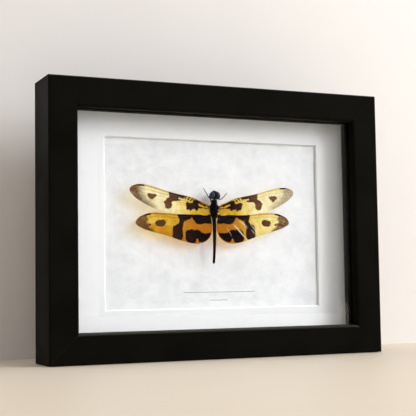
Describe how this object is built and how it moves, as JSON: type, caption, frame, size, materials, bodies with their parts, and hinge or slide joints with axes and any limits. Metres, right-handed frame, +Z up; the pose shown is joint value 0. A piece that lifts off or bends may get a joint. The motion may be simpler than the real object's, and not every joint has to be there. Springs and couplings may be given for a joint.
{
  "type": "framed dragonfly specimen",
  "caption": "Spread dragonfly in a shallow black shadow frame with a white window mat and textured paper behind glass; stands on its lower rail.",
  "frame": {"origin": "on the ground under the middle of the frame, half way through its depth", "axes": "+X along the frame's width to the right as seen from the front, +Y towards the back, +Z up; the glass faces -Y"},
  "size_m": [0.156, 0.0237, 0.118],
  "materials": {
    "lacquered_wood": "satin black lacquer",
    "clear_glass": "polished",
    "black_spacer": "matt black",
    "white_mat": "matt white",
    "textured_paper": "fibrous pale paper",
    "mount_board": "matt board",
    "pin_steel": "blued steel",
    "cuticle": "glossy black cuticle",
    "wing_membrane": "veined amber membrane with black patches",
    "hardboard": "brown hardboard",
    "zinc_steel": "zinc plated",
    "brassed_steel": "brass plated, stamped",
    "nail_steel": "bright steel"
  },
  "bodies": {
    "root": {"rail_top": "lacquered_wood", "rail_bottom": "lacquered_wood", "rail_left": "lacquered_wood", "rail_right": "lacquered_wood", "glass": "clear_glass", "spacer_top": "black_spacer", "spacer_bottom": "black_spacer", "spacer_left": "black_spacer", "spacer_right": "black_spacer", "mat_board": "white_mat", "specimen_paper": "textured_paper", "mount_board": "mount_board", "pin": "pin_steel", "head": "cuticle", "thorax": "cuticle", "abdomen": "cuticle", "forewing_left": "wing_membrane", "forewing_right": "wing_membrane", "hindwing_left": "wing_membrane", "hindwing_right": "wing_membrane", "back_panel": "hardboard", "tab_top_a": "zinc_steel", "tab_top_b": "zinc_steel", "tab_bottom_a": "zinc_steel", "tab_bottom_b": "zinc_steel", "tab_left": "zinc_steel", "tab_right": "zinc_steel", "hanger": "brassed_steel", "nail_a": "nail_steel", "nail_b": "nail_steel"}
  },
  "joints": []
}
